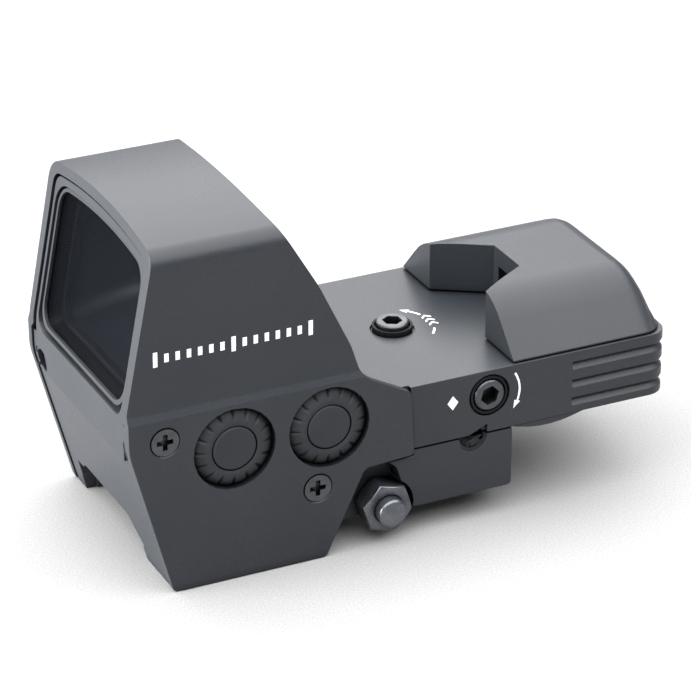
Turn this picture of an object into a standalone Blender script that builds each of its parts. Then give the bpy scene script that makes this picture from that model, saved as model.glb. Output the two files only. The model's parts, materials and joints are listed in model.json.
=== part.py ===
"""Open reflex red dot sight with a hood, a rear emitter housing and a rail clamp.

Frame: +X runs to the user's eye, -X to the target, +Y to the right-hand side of
the sight and +Z up.  The origin lies on the flat seat that rests on the rail, in
the plane of symmetry.  Every size below is in millimetres; MM turns it to metres.
"""
import math

import bmesh
import bpy
from mathutils import Matrix, Vector

MM = 0.001
GAP = 0.3                     # clearance between neighbouring pieces

# ---- overall envelope -------------------------------------------------------
BOTTOM_Z = -6.1               # lowest line of the side plates and the front legs
CREASE_Z = 26.9               # where the upper hood meets the side plates
CROWN_Z = 55.65               # top of the hood in the middle
FRONT_FOOT_X = -42.83         # front plane of the hood, carried down to z = 0
FRONT_LEAN = 0.189            # how far that plane moves back for each unit of height
PANEL_X = -37.4               # vertical strip of the front panel
PANEL_KINK_Z = 20.3           # below this the front panel rakes back
PANEL_TOE_X = -30.35          # foot of the raked front panel
PANEL_BEND = 12.0             # radius of the soft bend between strip and rake
LEAN_BEND = 15.0              # and of the bend where the strip starts to lean back

# ---- hood shroud ------------------------------------------------------------
PLATE_OUT = 22.0              # half width over the side plates
PLATE_IN = 20.5
HOOD_OUT = 21.2               # half width of the upper hood just above the crease
HOOD_SPREAD = 0.3             # the upper hood is this much wider at its shoulder
HOOD_IN = 19.4
HOOD_ROOF = 1.8               # wall of the hood at its crown
CROWN_DROP = 1.15             # fall of the crown arc at 16 mm from the middle
CHAMFER_TALL = 1.6            # sloping band below the crease
CREASE_ROUND = 1.9            # radius where the band meets the upper hood
BAND_ROUND = 1.0              # radius where it meets the plate, just above the button holes

# ---- main body --------------------------------------------------------------
CORE_HALF = 20.2              # body between the side plates
DECK_HALF = 21.05
DECK_Z = 21.2
DECK_UNDER_Z = 9.8            # underside of the deck housing
DECK_STEP_X = 12.9            # the side plates end just ahead of this step
REAR_X = 61.0
REAR_CORNER = 3.5
LINER_HALF = 19.0             # tunnel wall inside the hood
TUNNEL_HALF = 18.2
TUNNEL_SILL_Z = 24.8
TUNNEL_TOP_Z = 52.2
LENS_RISE = 1.1               # the lens stands this much above the sill, clear of the floor
RAMP_CREST = (-20.0, 28.2)    # highest line of the tunnel floor, x and z
RAMP_END_X = 6.0
GROOVE_START_X = 42.4
GROOVE_Z = (18.6, 15.25, 11.9)
GROOVE_DEEP = 0.8

# ---- emitter cover ----------------------------------------------------------
COVER_X = 31.4
COVER_REAR_X = 60.5
COVER_HALF = 20.6
COVER_TOP_Z = 30.4
COVER_FLAT = 7.7              # half width of the flat top
COVER_SHOULDER = 10.8         # radius between the top and the sloping side
COVER_SLOPE = 48.5            # degrees
COVER_TAIL = 5.3              # length of the rounded rear end
COVER_FULL = 2.4              # power of its profile, a little fuller than a circle's 2
COVER_CORNER = 4.0            # radius of its rear corners in plan
COVER_WALL = 1.5
NOTCH_FRONT = 10.3            # half width of the notch at the cover's front
NOTCH_REAR = 4.45
NOTCH_REAR_X = 40.8

# ---- rail clamp -------------------------------------------------------------
RAIL_HALF = 10.6              # a 21.2 mm rail
RAIL_TOP_HALF = 7.84          # its flat top
RAIL_LIP_HALF = 9.2           # opening between the gripping lips
CLAMP_X = 8.0                 # axis of the cross bolt, which is also the recoil lug
CLAMP_Z = 0.0
BOLT_R = 2.5
NUT_FLATS = 8.0
NUT_TALL = 4.0
NUT_SEAT_Y = -17.8
NUT_FACE_R = 3.85             # flat face inside the nut's corner chamfers
NUT_CHAMFER = 0.577           # fall of a chamfer for each unit of radius
NUT_RECESS_R = 4.95
BLOCK_X0 = -3.6
BLOCK_X1 = 31.3
BLOCK_TOP_Z = 9.5
BLOCK_SKIRT_Z = -1.2          # lower edge of the block's outer flange
BLOCK_FLOOR_Z = -2.6
LEG_Z = -5.0
JAW_BAR_Y = 14.2              # outer faces of the closed jaw: its bar and its lug,
JAW_LUG_Y = 18.6              # which both have room to open by 1.6
JAW_START_X = -24.0          # well behind the arch, which hides its end
JAW_END_X = 30.8
BASE_SCREW_X = (17.5, 25.5)
BASE_SCREW_Y = -2.0
BASE_SCREW_END_Z = 11.0

# ---- adjusters --------------------------------------------------------------
ELEVATION_XY = (19.2, 0.0)
WINDAGE_XZ = (26.8, 16.6)
LOCK_XZ = (24.0, 9.3)
ELEVATION_PIVOT = (10.0, 0.0, 15.0)
WINDAGE_PIVOT = (14.0, 0.0, 15.0)
ARM_Z = (13.0, 17.0)
ARM_HALF = 6.0
CAVITY_Z = (11.2, 18.8)
CAVITY_HALF = 13.4
EMITTER_Z = 24.4

# ---- controls and battery ---------------------------------------------------
BUTTONS = {"front": (-19.5, 17.6), "rear": (-2.8, 17.7)}
BUTTON_HOLE_R = 7.15
BUTTON_R = 3.8
SCREWS = {"front": (-31.5, 21.4), "rear": (-4.9, 7.0)}
SCREW_HEAD_R = 2.4
BUTTON_FLANGE_R = 4.6
POCKET_X = (-28.2, 2.2)       # recess for the circuit board behind the left plate
POCKET_Z = (11.0, 23.2)
POCKET_REAR_Z = 20.6          # its roof falls to here, under the ramp of the tunnel
POCKET_BEND_X = -6.6
BOARD_TOP_Z = 20.4
BATTERY_XZ = (-18.5, 10.5)
CELL_R = 8.0
CAP_R = 9.0

X, Y, Z = Vector((1, 0, 0)), Vector((0, 1, 0)), Vector((0, 0, 1))
# each plane gives the outline's two directions; the third is their cross product
PLANES = {"xy": (X, Y), "xz": (X, Z), "yz": (Y, Z)}


# ============================ scene and helpers ==============================
def clear_scene():
    for item in list(bpy.data.objects):
        bpy.data.objects.remove(item, do_unlink=True)


def new_collection(name):
    group = bpy.data.collections.new(name)
    bpy.context.scene.collection.children.link(group)
    return group


def make_material(name, colour, roughness, metallic=0.0, alpha=1.0):
    material = bpy.data.materials.new(name)
    material.use_nodes = True
    shader = material.node_tree.nodes["Principled BSDF"]
    shader.inputs["Base Color"].default_value = (*colour, 1.0)
    shader.inputs["Roughness"].default_value = roughness
    shader.inputs["Metallic"].default_value = metallic
    shader.inputs["Alpha"].default_value = alpha
    material.diffuse_color = (*colour, alpha)
    return material


def put(name, mesh, origin=(0, 0, 0)):
    """Make an object whose mesh is already in world millimetres times MM."""
    item = bpy.data.objects.new(name, mesh)
    cutters.objects.link(item)
    place = Vector(origin) * MM
    mesh.transform(Matrix.Translation(-place))
    item.location = place
    item.hide_render = True
    item.display_type = "WIRE"
    return item


def part(item, material):
    """Turn a working shape into a finished piece of the sight."""
    cutters.objects.unlink(item)
    sight.objects.link(item)
    item.hide_render = False
    item.display_type = "TEXTURED"
    item.data.materials.clear()
    item.data.materials.append(material)
    item.data.shade_smooth()
    item.data.set_sharp_from_angle(angle=math.radians(32))
    return item


def baked(item):
    """Replace an object by a plain mesh of its evaluated shape, welded and closed."""
    bpy.context.view_layer.update()
    graph = bpy.context.evaluated_depsgraph_get()
    mesh = bpy.data.meshes.new_from_object(item.evaluated_get(graph))
    mesh.transform(item.matrix_world)
    shape = bmesh.new()
    shape.from_mesh(mesh)
    bmesh.ops.remove_doubles(shape, verts=shape.verts, dist=1e-7)
    bmesh.ops.recalc_face_normals(shape, faces=shape.faces)
    shape.to_mesh(mesh)
    shape.free()
    name = item.name
    bpy.data.objects.remove(item, do_unlink=True)
    mesh.name = name
    return put(name, mesh)


def boolean(target, tool, operation="DIFFERENCE", solver="EXACT"):
    modifier = target.modifiers.new(operation.lower(), "BOOLEAN")
    modifier.operation = operation
    modifier.solver = solver
    modifier.object = tool
    return target


def cut(target, *tools, solver="EXACT"):
    for tool in tools:
        boolean(target, tool, "DIFFERENCE", solver)
    return target


def join(target, *tools, solver="EXACT"):
    for tool in tools:
        boolean(target, tool, "UNION", solver)
    return target


def prism(name, outline, plane, start, end):
    """A flat outline in one plane, thickened from start to end across it."""
    u, v = PLANES[plane]
    w = u.cross(v)
    across = Vector([abs(c) for c in w])
    curve = bpy.data.curves.new(name, "CURVE")
    curve.dimensions = "2D"
    curve.fill_mode = "BOTH"
    curve.extrude = abs(end - start) * 0.5 * MM
    spline = curve.splines.new("POLY")
    spline.points.add(len(outline) - 1)
    for knot, (a, b) in zip(spline.points, outline):
        knot.co = (a * MM, b * MM, 0, 1)
    spline.use_cyclic_u = True
    item = bpy.data.objects.new(name, curve)
    cutters.objects.link(item)
    turn = Matrix((u, v, w)).transposed().to_4x4()
    item.matrix_world = Matrix.Translation(across * (start + end) * 0.5 * MM) @ turn
    return baked(item)


def box(name, low, high):
    shape = bmesh.new()
    bmesh.ops.create_cube(shape, size=1.0)
    middle = [(a + b) * 0.5 * MM for a, b in zip(low, high)]
    size = [abs(b - a) * MM for a, b in zip(low, high)]
    bmesh.ops.scale(shape, vec=size, verts=shape.verts)
    bmesh.ops.translate(shape, vec=middle, verts=shape.verts)
    mesh = bpy.data.meshes.new(name)
    shape.to_mesh(mesh)
    shape.free()
    return put(name, mesh)


def line_up(direction):
    """The turn that takes +Z to a direction."""
    return Z.rotation_difference(Vector(direction)).to_matrix().to_4x4()


def sides_for(radius):
    """How many flats a round shape of this radius gets."""
    return 4 * int(4 + radius * 0.55)


def rod(name, radius, start, end, sides=0, spin=0.0):
    """A round or many-sided bar between two points."""
    a, b = Vector(start), Vector(end)
    sides = sides or sides_for(radius)
    shape = bmesh.new()
    place = Matrix.Translation((a + b) * 0.5 * MM) @ line_up(b - a) @ Matrix.Rotation(spin, 4, "Z")
    bmesh.ops.create_cone(shape, cap_ends=True, segments=sides, radius1=radius * MM,
                          radius2=radius * MM, depth=(b - a).length * MM, matrix=place)
    mesh = bpy.data.meshes.new(name)
    shape.to_mesh(mesh)
    shape.free()
    return put(name, mesh, a)


def turned(name, profile, origin, direction, ring=False):
    """Spin a half profile of (radius, height) points, top to bottom on its outside."""
    mesh = bpy.data.meshes.new(name)
    steps = sides_for(max(r for r, _ in profile))
    count = len(profile)
    edges = [(i, (i + 1) % count) for i in range(count if ring else count - 1)]
    mesh.from_pydata([(r * MM, 0, h * MM) for r, h in profile], edges, [])
    item = bpy.data.objects.new(name, mesh)
    cutters.objects.link(item)
    screw = item.modifiers.new("spin", "SCREW")
    screw.steps = steps
    screw.render_steps = steps
    screw.use_merge_vertices = True
    screw.merge_threshold = 1e-6
    item.matrix_world = Matrix.Translation(Vector(origin) * MM) @ line_up(direction)
    made = baked(item)
    return move_origin(made, origin)


def move_origin(item, point):
    shift = Vector(point) * MM - item.location
    item.data.transform(Matrix.Translation(-shift))
    item.location = item.location + shift
    return item


def coil(name, start, end, radius, wire, turns):
    """A compression spring between two points, drawn as one wire."""
    a, b = Vector(start), Vector(end)
    curve = bpy.data.curves.new(name, "CURVE")
    curve.dimensions = "3D"
    curve.bevel_depth = wire * 0.5 * MM
    curve.bevel_resolution = 1
    curve.use_fill_caps = True
    per_turn = 10
    count = turns * per_turn + 1
    spline = curve.splines.new("POLY")
    spline.points.add(count - 1)
    length = (b - a).length - wire
    for i, knot in enumerate(spline.points):
        angle = math.tau * i / per_turn
        rise = wire * 0.5 + length * i / (count - 1)
        knot.co = (radius * math.cos(angle) * MM, radius * math.sin(angle) * MM, rise * MM, 1)
    item = bpy.data.objects.new(name, curve)
    cutters.objects.link(item)
    item.matrix_world = Matrix.Translation(a * MM) @ line_up(b - a)
    return baked(item)


def rounded(corners, fine=5):
    """An outline of (u, v, radius) corners, each turned into an arc of that radius."""
    outline = []
    for i, (u, v, radius) in enumerate(corners):
        steps = fine if radius > 1.2 else 3
        here = Vector((u, v))
        if radius <= 0:
            outline.append((u, v))
            continue
        before = (Vector(corners[i - 1][:2]) - here).normalized()
        after = (Vector(corners[(i + 1) % len(corners)][:2]) - here).normalized()
        half = before.angle(after) * 0.5
        reach = radius / math.tan(half)
        centre = here + (before + after).normalized() * (radius / math.sin(half))
        start = here + before * reach - centre
        sweep = start.angle_signed(here + after * reach - centre)
        for k in range(steps + 1):
            turn = Matrix.Rotation(-sweep * k / steps, 2)
            spot = centre + turn @ start
            outline.append((spot.x, spot.y))
    return outline


def mirrored(half):
    """Both halves of a section given on its right-hand side, from bottom to top."""
    return half + [(-u, v) for u, v in reversed(half) if u > 1e-6]


def crown_arc(half, top, steps=5):
    """Points of the crown's shallow arc from its edge to the middle, right-hand side."""
    radius = (16.0 ** 2 + CROWN_DROP ** 2) / (2 * CROWN_DROP)
    points = []
    for i in range(steps + 1):
        y = half * (1 - i / steps)
        points.append((y, top - radius + math.sqrt(radius ** 2 - y ** 2)))
    return points


def arch(foot_z, half, spread, top, corner):
    """Right-hand half of an arched opening or hood: straight side, round corner, crown."""
    radius = (16.0 ** 2 + CROWN_DROP ** 2) / (2 * CROWN_DROP)
    wide = half + spread
    centre_y = wide - corner
    centre_z = top - radius + math.sqrt((radius - corner) ** 2 - centre_y ** 2)
    lean = math.asin(centre_y / (radius - corner))
    points = [(half, foot_z)]
    for i in range(6):
        angle = (math.pi / 2 - lean) * i / 5
        points.append((centre_y + corner * math.cos(angle), centre_z + corner * math.sin(angle)))
    points += crown_arc((radius) * math.sin(lean), top)[1:]
    return points


def front_x(z):
    """The hood's leaning front plane."""
    return FRONT_FOOT_X + FRONT_LEAN * z


# ============================== hood and screws ==============================
def hood_side_outline():
    """Side view of the hood shroud: x forwards to back, z up."""
    return rounded([
        (PANEL_TOE_X - 0.25, BOTTOM_Z, 1.0),
        (PANEL_X - 0.27, PANEL_KINK_Z, PANEL_BEND),
        (front_x(CREASE_Z), CREASE_Z, LEAN_BEND),
        (front_x(CROWN_Z + 1), CROWN_Z + 1, 0),
        (-12.2, CROWN_Z + 1, 0),
        (-11.2, 54.6, 5.0),
        (-4.3, 43.0, 20.0),
        (1.5, 31.0, 12.0),
        (3.3, 25.4, 4.5),
        (11.9, 20.8, 0.8),
        (12.6, 9.2, 0.8),
        (3.6, 8.7, 1.6),
        (-3.4, BOTTOM_Z, 1.0),
    ])


def hood_section(outer):
    """Half section of the hood, outside or inside, from the bottom to the crown."""
    if outer:
        crease = rounded([(PLATE_OUT, BOTTOM_Z - 1, 0),
                          (PLATE_OUT, CREASE_Z - CHAMFER_TALL, BAND_ROUND),
                          (HOOD_OUT, CREASE_Z, CREASE_ROUND),
                          (HOOD_OUT + HOOD_SPREAD, CROWN_Z - 10, 0)])
        return crease[:-1] + arch(CREASE_Z + 2, HOOD_OUT, HOOD_SPREAD, CROWN_Z, 3.3)[1:]
    points = [(PLATE_IN, BOTTOM_Z - 2), (PLATE_IN, CREASE_Z - 2.4)]
    return points + arch(CREASE_Z - 1.3, HOOD_IN, 0.0, CROWN_Z - HOOD_ROOF, 2.4)


def make_hood(alloy):
    hood = prism("hood_shroud", mirrored(hood_section(True)), "yz", -50, 20)
    inside = prism("hood_inside", mirrored(hood_section(False)), "yz", -60, 30)
    sides = prism("hood_sides", hood_side_outline(), "xz", -30, 30)
    cut(hood, inside)
    boolean(hood, sides, "INTERSECT")
    for place, (x, z) in SCREWS.items():
        cut(hood, *countersinks(x, z, place))
    for place, (x, z) in BUTTONS.items():
        cut(hood, rod(f"button_opening_{place}", BUTTON_HOLE_R, (x, -30, z), (x, -15, z)))
    x, z = BATTERY_XZ
    cut(hood, rod("cap_opening", CAP_R + GAP, (x, 15, z), (x, 30, z)))
    return part(hood, alloy)


def countersinks(x, z, place):
    """A through hole with a conical mouth in each side plate."""
    tools = []
    for side, sign in (("left", -1), ("right", 1)):
        profile = [(0, 1.0), (3.75, 1.0), (SCREW_HEAD_R + 0.35, 0), (1.65, -1.1), (1.65, -3), (0, -3)]
        tools.append(turned(f"countersink_{side}_{place}", profile,
                            (x, sign * PLATE_OUT, z), (0, sign, 0)))
    return tools


def make_hood_screws(steel):
    """Countersunk cross-head screws that hold the hood to the body."""
    for side, sign in (("left", -1), ("right", 1)):
        for place, (x, z) in SCREWS.items():
            name = f"hood_screw_{side}_{place}"
            profile = [(0, -0.05), (SCREW_HEAD_R, -0.05), (SCREW_HEAD_R, -0.25), (1.25, -1.25),
                       (1.25, -5.6), (0.9, -6.0), (0, -6.0)]
            screw = turned(name, profile, (x, sign * PLATE_OUT, z), (0, sign, 0))
            cut(screw, *cross_recess(name, (x, sign * PLATE_OUT, z), sign))
            part(screw, steel)


def cross_recess(name, centre, sign):
    x, y, z = centre
    near, deep = y + sign * 0.5, y - sign * 1.0
    low, high = min(near, deep), max(near, deep)
    wide, thick = 1.4, 0.42
    return [box(f"{name}_slot_1", (x - wide, low, z - thick), (x + wide, high, z + thick)),
            box(f"{name}_slot_2", (x - thick, low, z - wide), (x + thick, high, z + wide))]


# ================================= main body =================================
def liner_side_outline():
    """Side view of the tunnel liner, just inside the hood's own outline."""
    inset = 0.35
    return rounded([
        (PANEL_X, 18, 0),
        (PANEL_X, CREASE_Z, LEAN_BEND),
        (front_x(CROWN_Z) + inset, CROWN_Z, 0),
        (-13.1, CROWN_Z, 0),
        (-12.2, 54.6, 5.0),
        (-5.3, 43.0, 20.0),
        (0.5, 31.0, 12.0),
        (2.3, 25.4, 4.5),
        (RAMP_END_X, DECK_Z, 0),
        (RAMP_END_X, 18, 0),
    ])


def tunnel_cutter(name, start, end, tall):
    """A rounded channel whose floor runs straight between two (x, z) points."""
    (x0, z0), (x1, z1) = start, end
    length = math.hypot(x1 - x0, z1 - z0)
    slope = math.atan2(z1 - z0, x1 - x0)
    section = rounded([(TUNNEL_HALF, 0, 3.2), (TUNNEL_HALF, tall, 0),
                       (-TUNNEL_HALF, tall, 0), (-TUNNEL_HALF, 0, 3.2)])
    tool = prism(name, section, "yz", -4, length + 4)
    tool.data.transform(Matrix.Rotation(-slope, 4, "Y"))
    tool.location = Vector((x0, 0, z0)) * MM
    return tool


def make_tunnel():
    """Liner of the hood and the ramped floor inside it."""
    liner = prism("liner", mirrored(arch(15, LINER_HALF, 0.0, CROWN_Z - HOOD_ROOF - 0.4, 2.2)),
                  "yz", -45, 10)
    boolean(liner, prism("liner_sides", liner_side_outline(), "xz", -25, 25), "INTERSECT")
    window = mirrored(arch(33, TUNNEL_HALF, 0.0, TUNNEL_TOP_Z, 4.2))
    sill = (front_x(TUNNEL_SILL_Z), TUNNEL_SILL_Z)
    rear = (RAMP_END_X, DECK_Z - 0.5)
    cut(liner,
        prism("tunnel_upper", window, "yz", -60, 30),
        tunnel_cutter("tunnel_front", sill, RAMP_CREST, 13),
        tunnel_cutter("tunnel_rear", RAMP_CREST, rear, 13))
    return liner


def deck_outline(half, step_x, rear_x, corner):
    return rounded([(0.0, -CORE_HALF, 0), (step_x, -CORE_HALF, 0), (step_x, -half, 0),
                    (rear_x, -half, corner), (rear_x, half, corner), (step_x, half, 0),
                    (step_x, CORE_HALF, 0), (0.0, CORE_HALF, 0)])


def front_block():
    """The part of the body between the side plates, down to the rail."""
    outline = rounded([(PANEL_TOE_X, BOTTOM_Z, 0), (PANEL_X, PANEL_KINK_Z, PANEL_BEND),
                       (PANEL_X, 24.2, 0), (8.0, 24.2, 0), (8.0, DECK_UNDER_Z, 0),
                       (BLOCK_X0 - GAP, DECK_UNDER_Z, 0), (BLOCK_X0 - GAP, BOTTOM_Z, 0)])
    block = prism("front_block", outline, "xz", -CORE_HALF, CORE_HALF)
    hollow = prism("front_floor", [(-30.0, 24.3), (RAMP_END_X - 3, DECK_Z), (20, DECK_Z), (20, 30),
                                   (-30.0, 30)], "xz", -30, 30)
    return cut(block, hollow)


def rail_outline(bottom):
    """Channel for the rail: flat seat, bevelled shoulder and gripping lip on the left."""
    return [(-RAIL_TOP_HALF, 0.0), (-RAIL_HALF - 0.15, -2.85), (-RAIL_LIP_HALF, -4.45),
            (-RAIL_LIP_HALF, bottom), (16.1, bottom), (16.1, 0.0)]


def front_arch():
    """Relief at the front end of the channel, as an arch over the rail."""
    outline = rounded([(-10.4, BOTTOM_Z - 2, 0), (-9.8, -2.6, 2.0), (-7.2, 1.1, 2.5),
                       (12.3, 1.1, 2.5), (16.6, -3.2, 2.5), (16.6, BOTTOM_Z - 2, 0)])
    return prism("front_arch", outline, "yz", -45, -28.5)


def grooves():
    """V grooves that run round the rear of the deck housing."""
    tools = []
    half, rear, corner = DECK_HALF + 0.15, REAR_X + 0.15, REAR_CORNER + 0.15
    path = rounded([(GROOVE_START_X, -half, 0), (rear, -half, corner),
                    (rear, half, corner), (GROOVE_START_X, half, 0)])
    for number, level in enumerate(GROOVE_Z, 1):
        curve = bpy.data.curves.new(f"groove_{number}", "CURVE")
        curve.dimensions = "3D"
        curve.twist_mode = "Z_UP"
        curve.bevel_depth = (GROOVE_DEEP + 0.15) * MM
        curve.bevel_resolution = 0
        curve.use_fill_caps = True
        spline = curve.splines.new("POLY")
        spline.points.add(len(path) - 1)
        for knot, (x, y) in zip(spline.points, path):
            knot.co = (x * MM, y * MM, level * MM, 1)
        item = bpy.data.objects.new(f"groove_{number}", curve)
        cutters.objects.link(item)
        tools.append(baked(item))
    return tools


def make_main_body(alloy):
    body = prism("main_body", deck_outline(DECK_HALF, DECK_STEP_X, REAR_X, REAR_CORNER), "xy",
                 DECK_UNDER_Z, DECK_Z)
    belly = prism("belly", rounded([(31.6, 12, 0), (31.6, 9.5, 0), (37.6, 7.9, 20),
                                    (46.6, 10.1, 0), (46.6, 12, 0)]),
                  "xz", 0.2 - DECK_HALF, DECK_HALF - 0.2)
    join(body, front_block(), make_tunnel(), belly, step_wedge(), solver="MANIFOLD")
    cut(body,
        prism("rail_front", rail_outline(BOTTOM_Z - 3), "yz", -50, 0),
        front_arch(),
        box("arm_cavity", (7.0, -CAVITY_HALF, CAVITY_Z[0]), (46.0, CAVITY_HALF, CAVITY_Z[1])),
        prism("rear_tray", rounded([(42.8, -18.6, 2), (58.6, -18.6, 2), (58.6, 18.6, 2),
                                    (42.8, 18.6, 2)]), "xy", 11.2, 30),
        board_pocket(),
        *grooves(), *adjuster_holes(), *side_holes(), *cover_screw_holes(), *base_screw_holes(),
        solver="MANIFOLD")
    return part(body, alloy)


def step_wedge():
    """Slants the step, so that it follows the rear edge of the side plates."""
    outline = [(DECK_STEP_X - 0.7, DECK_Z), (DECK_STEP_X + 0.5, DECK_Z),
               (DECK_STEP_X + 0.5, DECK_UNDER_Z), (DECK_STEP_X, DECK_UNDER_Z)]
    return prism("step_wedge", outline, "xz", -DECK_HALF, DECK_HALF)


def board_pocket():
    (x0, x1), (z0, z1) = POCKET_X, POCKET_Z
    outline = [(x0, z0), (x1, z0), (x1, POCKET_REAR_Z), (POCKET_BEND_X, z1), (x0, z1)]
    return prism("board_pocket", outline, "xz", -30, -14.4)


def adjuster_holes():
    ex, ey = ELEVATION_XY
    wx, wz = WINDAGE_XZ
    px, _, pz = ELEVATION_PIVOT
    lx, lz = LOCK_XZ
    return [
        rod("elevation_mouth", 3.75, (ex, ey, 20.7), (ex, ey, 25)),
        rod("elevation_bore", 3.1, (ex, ey, 19.7), (ex, ey, 25)),
        rod("elevation_guide", 2.0, (ex, ey, 17), (ex, ey, 21)),
        rod("windage_mouth", 3.73, (wx, -25, wz), (wx, -19.8, wz)),
        rod("windage_bore", 3.0, (wx, -25, wz), (wx, -17.2, wz)),
        rod("windage_guide", 1.5, (wx, -19, wz), (wx, -10, wz)),
        rod("pivot_bore", 1.3, (px, -17.6, pz), (px, 17.6, pz)),
        rod("lock_relief", 2.0, (lx, -20.4, lz), (lx, -14.8, lz)),
        prism("lock_lip", [(lx - 2.0, 9.3), (lx + 2.5, 11.3), (lx + 2.5, 9.3)], "xz", -24, -20.2),
    ]


def side_holes():
    """Holes for the hood screws, the front set screw, the buttons and the battery."""
    holes = []
    for side, sign in (("left", -1), ("right", 1)):
        for place, (x, z) in SCREWS.items():
            holes.append(rod(f"hood_hole_{side}_{place}", 1.55, (x, sign * 30, z),
                             (x, sign * 15.2, z)))
    holes.append(rod("front_hole", 2.2, (-45, 17.0, 19.4), (-33.5, 17.0, 19.4)))
    for place, (x, z) in BUTTONS.items():
        holes.append(rod(f"button_seat_{place}", BUTTON_FLANGE_R + GAP, (x, -30, z), (x, -18.8, z)))
    x, z = BATTERY_XZ
    holes.append(rod("battery_well", CAP_R + GAP - 0.2, (x, 14.2, z), (x, 30, z)))
    holes.append(box("battery_lead_slot", (x - 2, -15, z - 1.5), (x + 2, 14.6, z + 1.5)))
    return holes


def cover_screw_spots():
    return [(37.0, -15.6), (37.0, 15.6), (55.0, -14.8), (55.0, 14.8)]


def cover_screw_holes():
    tools = []
    for number, (x, y) in enumerate(cover_screw_spots(), 1):
        tools.append(rod(f"cover_hole_{number}", 1.35, (x, y, 0), (x, y, 30)))
        tools.append(rod(f"cover_seat_{number}", 2.3, (x, y, 0), (x, y, 10.9)))
    return tools


def base_screw_holes():
    """Tapped holes in the floor of the arm cavity."""
    return [rod(f"base_tap_{x}", 1.7, (x, BASE_SCREW_Y, 9), (x, BASE_SCREW_Y, 12.5)) for x in BASE_SCREW_X]


# ============================ lens and its fixings ===========================
def lens_slab(name, inset, hole, ahead, thick, material):
    """A plate or ring with the window's outline, parallel to the leaning front."""
    half = TUNNEL_HALF - inset
    foot = TUNNEL_SILL_Z + LENS_RISE + inset

    def outline(shrink):
        upper = arch(foot + 4.2, half - shrink, 0.0, TUNNEL_TOP_Z - inset - shrink, 4.2 - shrink)
        lower = [(half - shrink - 3.5 + 3.5 * math.sin(a), foot + shrink + 3.5 - 3.5 * math.cos(a))
                 for a in [math.pi / 2 * i / 6 for i in range(7)]]
        return mirrored(lower + upper[1:])

    item = prism(name, outline(0.0), "yz", -60, 0)
    if hole > 0:
        cut(item, prism(f"{name}_hole", outline(hole), "yz", -70, 10))
    low, high = 10.0, 70.0
    slab = [(front_x(low) + ahead, low), (front_x(high) + ahead, high),
            (front_x(high) + ahead + thick, high), (front_x(low) + ahead + thick, low)]
    boolean(item, prism(f"{name}_slab", slab, "xz", -30, 30), "INTERSECT")
    return part(item, material)


# =============================== emitter cover ===============================
def cover_section():
    """Unit half section of the cover from the middle of the top down to the seam."""
    tall = COVER_TOP_Z - DECK_Z
    slope = math.radians(COVER_SLOPE)
    points = [(0.0, 1.0), (COVER_FLAT * 0.5 / COVER_HALF, 1.0)]
    for i in range(6):
        angle = slope * i / 5
        y = COVER_FLAT + COVER_SHOULDER * math.sin(angle)
        z = tall - COVER_SHOULDER * (1 - math.cos(angle))
        points.append((y / COVER_HALF, z / tall))
    return points + [(1.0, 0.03), (1.0, 0.0)]


def cover_loft(name, inset):
    """Skin of the cover: one section carried along x, shrinking round the rear end."""
    half = COVER_HALF - inset
    tall = COVER_TOP_Z - DECK_Z - inset
    base = DECK_Z + GAP if inset == 0 else DECK_Z - 2.0
    front = COVER_X + inset
    rear = COVER_REAR_X - inset
    tail, corner = COVER_TAIL, COVER_CORNER
    stations = [front] + [rear - tail + tail * math.sin(math.pi / 2 * i / 7) for i in range(7)]
    stations.append(rear - 0.02)
    section = cover_section()
    shape = bmesh.new()
    rings = []
    for x in stations:
        back = max(0.0, (x - (rear - tail)) / tail)
        rise = math.sqrt(max(0.0, 1 - back ** COVER_FULL))
        turn = max(0.0, (x - (rear - corner)) / corner)
        wide = half - corner * (1 - math.sqrt(max(0.0, 1 - turn ** 2)))
        ring = [(x, wide * u, max(base + 0.1, DECK_Z + tall * rise * v)) for u, v in section[:-1]]
        ring.append((x, wide, base))
        left = [(a, -b, c) for a, b, c in reversed(ring[1:])]
        rings.append([shape.verts.new(Vector(p) * MM) for p in left + ring])
    for before, after in zip(rings, rings[1:]):
        count = len(before)
        for i in range(count):
            j = (i + 1) % count
            shape.faces.new((before[i], before[j], after[j], after[i]))
    shape.faces.new(reversed(rings[0]))
    shape.faces.new(rings[-1])
    bmesh.ops.remove_doubles(shape, verts=shape.verts, dist=1e-7)
    bmesh.ops.recalc_face_normals(shape, faces=shape.faces)
    mesh = bpy.data.meshes.new(name)
    shape.to_mesh(mesh)
    shape.free()
    return put(name, mesh)


def notch_outline(grow):
    """Plan of the notch, open to the front."""
    flare = (NOTCH_FRONT - NOTCH_REAR) / (NOTCH_REAR_X - COVER_X)
    rear_x = NOTCH_REAR_X + grow
    rear = NOTCH_REAR + grow * 0.6
    front_x0 = COVER_X - 5
    front = rear + flare * (rear_x - front_x0)
    return [(front_x0, -front), (rear_x, -rear), (rear_x, rear), (front_x0, front)]


def make_cover(alloy):
    cover = cover_loft("emitter_cover", 0.0)
    inside = cover_loft("cover_inside", COVER_WALL)
    cut(inside, prism("notch_wall", notch_outline(COVER_WALL), "xy", 10, 40))
    cut(cover, inside)
    for number, (x, y) in enumerate(cover_screw_spots(), 1):
        join(cover, rod(f"cover_post_{number}", 2.6, (x, y, DECK_Z + GAP), (x, y, 24.0)))
    cut(cover, prism("notch", notch_outline(0.0), "xy", 10, 40),
        box("window_hole", (40, -3.0, 22.0), (43.5, 3.0, 27.0)))
    for number, (x, y) in enumerate(cover_screw_spots(), 1):
        cut(cover, rod(f"cover_tap_{number}", 1.35, (x, y, 15), (x, y, 23.2)))
    return part(cover, alloy)


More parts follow.
